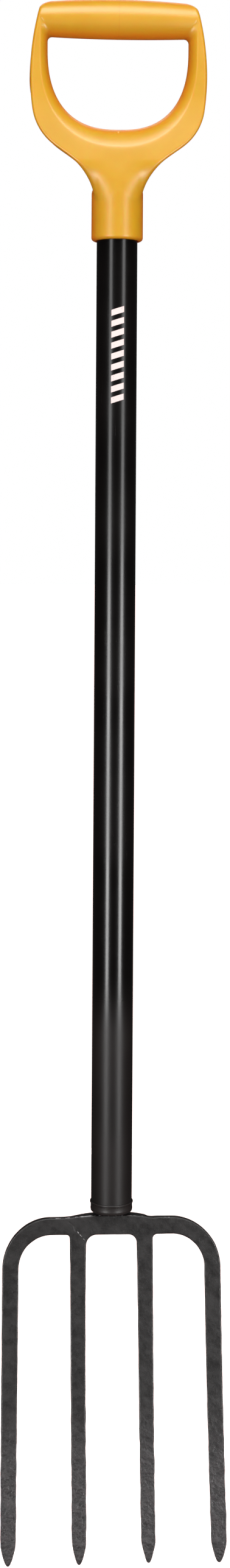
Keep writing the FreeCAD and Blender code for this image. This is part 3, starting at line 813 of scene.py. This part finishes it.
class Material:
    """A node material: its principled shader, and short calls that add linked nodes."""

    def __init__(self, name):
        self.data = bpy.data.materials.new(name)
        self.data.use_nodes = True
        self.tree = self.data.node_tree
        self.shader = self.tree.nodes["Principled BSDF"]
        self.place = self.node("TexCoord").outputs["Object"]

    def node(self, kind, links=(), values=(), **settings):
        node = self.tree.nodes.new("ShaderNode" + kind)
        for key, setting in settings.items():
            setattr(node, key, setting)
        for key, value in dict(values).items():
            node.inputs[key].default_value = value
        for key, source in dict(links).items():
            self.tree.links.new(source, node.inputs[key])
        return node

    def fill(self, socket, value):
        """Plug an output into a socket, or set a plain value on it."""
        if isinstance(value, bpy.types.NodeSocket):
            self.tree.links.new(value, socket)
        else:
            socket.default_value = value

    def set(self, **sockets):
        for key, value in sockets.items():
            self.fill(self.shader.inputs[key.replace("_", " ")], value)

    def axes(self):
        """The place across, from front to back, and up."""
        return self.node("SeparateXYZ", {"Vector": self.place}).outputs

    def math(self, operation, first, second=0.0, third=0.0):
        node = self.node("Math", operation=operation)
        for socket, value in zip(node.inputs, (first, second, third)):
            self.fill(socket, value)
        return node.outputs["Value"]

    def plus(self, first, second):
        return self.math("ADD", first, second)

    def times(self, first, second):
        return self.math("MULTIPLY", first, second)

    def size(self, value):
        return self.math("ABSOLUTE", value)

    def noise(self, scale, detail=3.0, stretch=(1.0, 1.0, 1.0), roughness=0.5):
        """Noise with a number of waves per metre, drawn out along an axis by its stretch."""
        place = self.node("Mapping", {"Vector": self.place}, {"Scale": [1.0 / s for s in stretch]})
        return self.node(
            "TexNoise",
            {"Vector": place.outputs["Vector"]},
            {"Scale": scale, "Detail": detail, "Roughness": roughness},
        ).outputs["Fac"]

    def remap(self, value, low, high, to_low=0.0, to_high=1.0):
        """Take a value from one span to another with soft ends, held at the ends."""
        node = self.node(
            "MapRange",
            {"Value": value},
            {"From Min": low, "From Max": high, "To Min": to_low, "To Max": to_high},
            interpolation_type="SMOOTHSTEP",
        )
        return node.outputs["Result"]

    def mixed(self, share, first, second):
        """Mix two colours, each a plain colour or an output."""
        node = self.node("Mix", data_type="RGBA")
        self.tree.links.new(share, node.inputs["Factor"])
        for key, value in (("A", first), ("B", second)):
            self.fill(next(s for s in node.inputs if s.name == key and s.type == "RGBA"), value)
        return next(s for s in node.outputs if s.type == "RGBA")

    def bump(self, height, strength, distance, before=None):
        node = self.node("Bump", {"Height": height}, {"Strength": strength, "Distance": distance})
        if before is not None:
            self.tree.links.new(before, node.inputs["Normal"])
        return node.outputs["Normal"]


def grey(level):
    return (level, level, level, 1.0)


def orange_plastic():
    """Satin moulded plastic: eroded grain, faint flow clouding, a weld line, light handling scuffs, and a
    redder painted shade on the flanks, where the light falls off.
    """
    material = Material("orange_plastic")
    across, depth, level = material.axes()
    cloud = material.noise(24.0, detail=4.0)
    grain = material.noise(2600.0, detail=2.0)
    scuffs = material.noise(300.0, detail=5.0, stretch=(6.0, 1.0, 1.0), roughness=0.7)
    # Painted shade: the flanks, behind the front faces, are tinted a redder orange.
    painted_shade = material.remap(material.size(depth), *PAINTED_SHADE_DEPTHS, 0.0, PAINTED_SHADE_SHARE)
    weld = material.remap(material.size(across), *WELD_HALF_WIDTHS)
    weld = material.times(weld, material.remap(level, *WELD_LEVELS))

    colour = material.mixed(material.remap(cloud, *CLOUDS), ORANGE, ORANGE_CLOUD)
    colour = material.mixed(painted_shade, colour, ORANGE_PAINTED_SHADE)
    colour = material.mixed(material.times(weld, 0.2), colour, ORANGE_WELD)
    rough = material.remap(cloud, *CLOUDS, 0.34, 0.39)
    rough = material.plus(rough, material.remap(scuffs, 0.6, 0.8, 0.0, 0.04))
    relief = material.bump(grain, 0.1, 0.0001)
    relief = material.bump(weld, -0.3, 0.0001, before=relief)
    material.set(Base_Color=colour, Roughness=rough, Normal=relief, IOR=1.65)
    material.set(Subsurface_Weight=0.6, Subsurface_Radius=(1.0, 0.15, 0.02), Subsurface_Scale=0.007)
    return material.data


def black_coat(name, greys, rough, dull_levels=None):
    """Satin black coating with fine orange peel, faint cloudy patches and a few hairline rubs.

    It can turn duller and a little greyer between two levels.
    """
    material = Material(name)
    low, high = greys
    cloud = material.noise(14.0, detail=5.0)
    rubs = material.noise(400.0, detail=4.0, stretch=(1.0, 1.0, 14.0), roughness=0.7)
    cloudy = material.remap(cloud, *CLOUDS)
    colour = material.mixed(cloudy, grey(low), grey(high))
    colour = material.mixed(material.remap(rubs, 0.66, 0.8, 0.0, 0.5), colour, grey(high * 4.0))
    rough = material.remap(cloud, *CLOUDS, rough, rough + 0.05)
    rough = material.plus(rough, material.remap(rubs, 0.6, 0.8, 0.0, 0.1))
    if dull_levels is not None:
        dull = material.remap(material.axes()["Z"], *dull_levels)
        low, high = DULL_GREYS
        colour = material.mixed(dull, colour, material.mixed(cloudy, grey(low), grey(high)))
        rough = material.plus(rough, material.times(dull, DULL_ROUGHER))
    peel = material.bump(material.noise(900.0, detail=2.0), 0.08, 0.0001)
    material.set(Base_Color=colour, Roughness=rough, Normal=peel, IOR=1.5)
    return material.data


def bright_steel(name, level, rough):
    """Zinc-plated or bare steel with fine turning marks and cloudy plating."""
    material = Material(name)
    cloud = material.noise(300.0, detail=4.0)
    marks = material.noise(2400.0, detail=2.0, stretch=(1.0, 1.0, 0.1))
    colour = material.mixed(material.remap(cloud, *CLOUDS), grey(level * 0.8), grey(level))
    material.set(Base_Color=colour, Roughness=material.remap(marks, 0.3, 0.7, rough, rough + 0.15))
    material.set(Normal=material.bump(marks, 0.15, 0.0001), Metallic=1.0)
    return material.data


def chips_and_painted_highlight_on_the_crossbar(material, across, depth, level):
    """A thin broken line along the front edge of the crossbar's top, as far as the shoulders: worn chips,
    and a painted highlight on the rounded edge.
    """
    beside = material.size(across)
    top = (BEND_LEVEL + BEND_RADIUS) * MM
    brow = material.remap(beside, *CROSSBAR_BROW, top + CROSSBAR_RISE * MM, top)
    off_edge = material.size(material.math("SUBTRACT", level, brow))
    edge = material.remap(off_edge, *CHIP_AND_HIGHLIGHT_HALF_WIDTHS)
    edge = material.times(edge, material.remap(depth, *CROSSBAR_FRONT))
    return material.times(edge, material.remap(beside, *CROSSBAR_CHIPS_AND_HIGHLIGHT_END))


def chips_on_the_lap(material, across, depth, level):
    """A thin line along the foot of the lap that forging left on the front."""
    run = (LAP_FOOT[0] - LAP_HEAD[0], LAP_FOOT[1] - LAP_HEAD[1])
    length = math.hypot(*run)
    beyond_x = material.math("SUBTRACT", across, LAP_FOOT[0] * MM)
    beyond_z = material.math("SUBTRACT", level, LAP_FOOT[1] * MM)
    off_line_x = material.times(beyond_x, -run[1] / length)
    off_line_z = material.times(beyond_z, run[0] / length)
    off_lap = material.size(material.plus(off_line_x, off_line_z))
    squares = [material.math("POWER", beyond, 2.0) for beyond in (beyond_x, beyond_z)]
    off_foot = material.math("SQRT", material.plus(*squares))
    scar = material.remap(off_lap, *CHIP_AND_HIGHLIGHT_HALF_WIDTHS)
    scar = material.times(scar, material.remap(off_foot, *LAP_CHIPS_END))
    return material.times(scar, material.remap(depth, *LAP_FRONT))


def lacquered_forging():
    """Dark lacquer over forged steel: drawn streaks above, hammer scale below that is painted paler for the
    light the swept tines catch, and chips on the edges, which along the crossbar's front top edge also
    paint a highlight.
    """
    material = Material("lacquered_forging")
    across, depth, level = material.axes()
    low = material.remap(level, *LACQUER_LEVELS)
    mottle = material.noise(110.0, detail=6.0, roughness=0.65)
    streaks = material.noise(420.0, detail=3.0, stretch=(1.0, 1.0, 12.0))
    scale = material.noise(210.0, detail=3.0, roughness=0.6)
    pits = material.node("TexVoronoi", {"Vector": material.place}, {"Scale": 420.0}).outputs["Distance"]

    upper = material.mixed(material.remap(mottle, 0.35, 0.7), *map(grey, LACQUER_GREYS))
    # Below, hammer scale in a paler tone that is partly painted light, where the swept-forward tines catch
    # the light from above.
    lower = material.mixed(material.remap(scale, 0.3, 0.75), SCALE_AND_PAINTED_LIGHT_DARK, SCALE_AND_PAINTED_LIGHT_PALE)
    dashes = material.noise(560.0, detail=3.0, stretch=(2.5, 1.0, 1.0), roughness=0.6)
    chips_and_painted_highlight = material.math(
        "MAXIMUM",
        chips_and_painted_highlight_on_the_crossbar(material, across, depth, level),
        chips_on_the_lap(material, across, depth, level),
    )
    chips_and_painted_highlight = material.times(chips_and_painted_highlight, material.remap(dashes, 0.5, 0.57))
    nicks = material.noise(150.0, detail=2.0)
    specks = material.noise(900.0, detail=1.0)
    worn = material.times(material.remap(nicks, 0.62, 0.72), material.remap(specks, 0.60, 0.68))
    worn = material.times(worn, material.math("MULTIPLY_ADD", low, 0.14, 0.04))
    # The line along the crossbar's top edge is partly worn chips and partly a painted highlight; it joins
    # the wear here.
    worn = material.math("MAXIMUM", chips_and_painted_highlight, worn)
    colour = material.mixed(worn, material.mixed(low, upper, lower), BARE_STEEL_AND_HIGHLIGHT)

    rough = material.remap(mottle, 0.3, 0.7, 0.36, 0.5)
    rough = material.plus(rough, material.times(low, 0.04))
    drawn = material.times(streaks, material.math("SUBTRACT", 1.0, low))
    hammered = material.times(scale, material.math("MULTIPLY_ADD", low, 1.6, 0.15))
    pitted = material.times(pits, material.math("MULTIPLY_ADD", low, 0.5, 0.12))
    grain = material.noise(1900.0, detail=2.0)
    relief = material.bump(material.plus(grain, material.times(drawn, 0.3)), 0.35, 0.0002)
    relief = material.bump(material.plus(hammered, pitted), 0.6, 0.0008, before=relief)
    material.set(Base_Color=colour, Roughness=rough, Normal=relief, IOR=1.6)
    return material.data


def print_ink():
    """White screen-printing ink with tiny pinholes where the coat shows through."""
    material = Material("print_ink")
    holes = material.remap(material.noise(1500.0, detail=2.0), 0.28, 0.34)
    colour = material.mixed(holes, *map(grey, INK_GREYS))
    material.set(Base_Color=colour, Roughness=material.remap(holes, 0.0, 1.0, 0.6, 0.45))
    material.set(Normal=material.bump(holes, 0.2, 0.0001))
    return material.data


# ---------------------------------------------------------------- the object

def dress(piece, material):
    piece.data.materials.clear()
    piece.data.materials.append(material)


def add_piece(piece, material, slot, *nodes):
    """Put a new piece on the one body, hide the CAD nodes that it takes the place of, and give it its
    material.
    """
    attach(piece, "root")
    if nodes:
        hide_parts(*nodes)
    dress(piece, material)


def add_object():
    forging = lacquered_forging()
    add_piece(make_grip(), orange_plastic(), "orange_grip", "d_handle")
    add_piece(make_head(), forging, "forged_steel", "fork_head")
    add_piece(make_tang(), forging, "forged_steel", "fork_head")
    add_piece(make_cap(), black_coat("cap_plastic", CAP_GREYS, 0.4), "black_cap", "ferrule_cap")
    add_piece(make_mark(), print_ink(), None)
    dress(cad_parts["shaft_tube"], black_coat("tube_coat", TUBE_GREYS, 0.2, TUBE_DULL_LEVELS))
    dress(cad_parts["tang_pin"], bright_steel("pin_steel", 0.5, 0.3))
    dress(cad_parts["handle_screw"], bright_steel("screw_zinc", 0.7, 0.25))
    bush = black_coat("bush_plastic", BUSH_GREYS, 0.4)
    for node in ("tang_bush_right", "tang_bush_left"):
        dress(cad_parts[node], bush)


# ---------------------------------------------------------------- studio

VIEW_DISTANCE = 1.716
VIEW_LEVEL = -0.3967
VIEW_TURN = math.radians(-3.3)
VIEW_ROLL = math.radians(0.34)
FRAME_HEIGHT = 1.2305
FRAME_LEVEL = -0.5997
FRAME_SIDE = -0.0003
# Each light: where it is, the level on the shaft that it faces, its width and height, and its watts. The
# places across are for the right side. The strips have a twin on the left.
STRIPS = {
    "": ((1.18, -1.60, -0.86), -0.86, (0.5, 0.76), 17.0),
    "_upper": ((1.18, -1.60, -0.03), -0.03, (0.5, 0.9), 5.5),
}
OVERHEADS = {
    "overhead": ((0.0, -1.35, 1.45), 0.0, (2.2, 1.3), 52.0),
    "overhead_back": ((0.0, 1.6, 1.4), -0.5, (2.0, 0.8), 8.0),
}
SEEN = grey(1.0)
FILL = (0.46, 0.12, 0.06, 1.0)
REFLECTED = grey(0.03)
FLOOR_REACH = 40.0
FLOOR_DROP = 0.35


def add_camera():
    """A level camera a little to the left of the front, rolled by the small lean of the tool."""
    camera = bpy.data.cameras.new("camera")
    camera.sensor_fit = "VERTICAL"
    camera.lens = camera.sensor_height * VIEW_DISTANCE / FRAME_HEIGHT
    camera.shift_x = FRAME_SIDE / FRAME_HEIGHT
    camera.shift_y = (FRAME_LEVEL - VIEW_LEVEL) / FRAME_HEIGHT
    camera.clip_end = 100.0
    holder = bpy.data.objects.new("camera", camera)
    away = Vector((math.sin(VIEW_TURN), -math.cos(VIEW_TURN), 0.0))
    holder.location = VIEW_DISTANCE * away + Vector((0.0, 0.0, VIEW_LEVEL))
    holder.rotation_mode = "QUATERNION"
    holder.rotation_quaternion = away.to_track_quat("Z", "Y") @ Quaternion((0.0, 0.0, 1.0), VIEW_ROLL)
    bpy.context.scene.collection.objects.link(holder)
    bpy.context.scene.camera = holder


def add_softbox(name, place, target_level, size, power):
    """A rectangular light that faces the tool's axis at a level."""
    light = bpy.data.lights.new(name, "AREA")
    light.shape = "RECTANGLE"
    light.size, light.size_y = size
    light.energy = power
    holder = bpy.data.objects.new(name, light)
    holder.location = place
    towards = Vector((0.0, 0.0, target_level)) - Vector(place)
    holder.rotation_euler = towards.to_track_quat("-Z", "Y").to_euler()
    bpy.context.scene.collection.objects.link(holder)


def add_lights():
    """Two strips low on either side of the camera, dimmer ones above them, and large boxes overhead."""
    for side, sign in (("left", -1.0), ("right", 1.0)):
        for part, ((across, front, level), *rest) in STRIPS.items():
            add_softbox(f"strip_{side}{part}", (sign * across, front, level), *rest)
    for name, light in OVERHEADS.items():
        add_softbox(name, *light)


def add_surroundings():
    """White behind the tool, with a dark studio around it so that the black sides stay black."""
    world = bpy.data.worlds.new("studio")
    world.use_nodes = True
    nodes, links = world.node_tree.nodes, world.node_tree.links
    nodes.clear()

    def shade(colour):
        background = nodes.new("ShaderNodeBackground")
        background.inputs["Color"].default_value = colour
        return background.outputs["Background"]

    def chosen(ray, otherwise, where_true):
        mix = nodes.new("ShaderNodeMixShader")
        for socket, source in zip(mix.inputs, (rays.outputs[ray], otherwise, where_true)):
            links.new(source, socket)
        return mix.outputs["Shader"]

    rays = nodes.new("ShaderNodeLightPath")
    unseen = chosen("Is Diffuse Ray", shade(REFLECTED), shade(FILL))
    final = chosen("Is Camera Ray", unseen, shade(SEEN))
    links.new(final, nodes.new("ShaderNodeOutputWorld").inputs["Surface"])
    bpy.context.scene.world = world


def add_floor():
    """A wide sheet of lit white paper below the tips."""
    level = cad_box[0][2] - FLOOR_DROP
    turns = ((-1, -1), (1, -1), (1, 1), (-1, 1))
    mesh = bpy.data.meshes.new("floor")
    mesh.from_pydata([(FLOOR_REACH * x, FLOOR_REACH * y, level) for x, y in turns], [], [(0, 1, 2, 3)])
    floor = linked("floor", mesh)
    paper = Material("floor_paper")
    fibre = paper.noise(60.0, detail=4.0)
    paper.set(Base_Color=paper.mixed(fibre, grey(0.88), grey(0.92)), Roughness=0.9)
    paper.set(Emission_Color=grey(1.0), Emission_Strength=1.0)
    dress(floor, paper.data)
    floor.visible_glossy = False
    floor.visible_diffuse = False


add_object()
add_camera()
add_lights()
add_surroundings()
add_floor()
bpy.context.scene.view_settings.view_transform = "Standard"
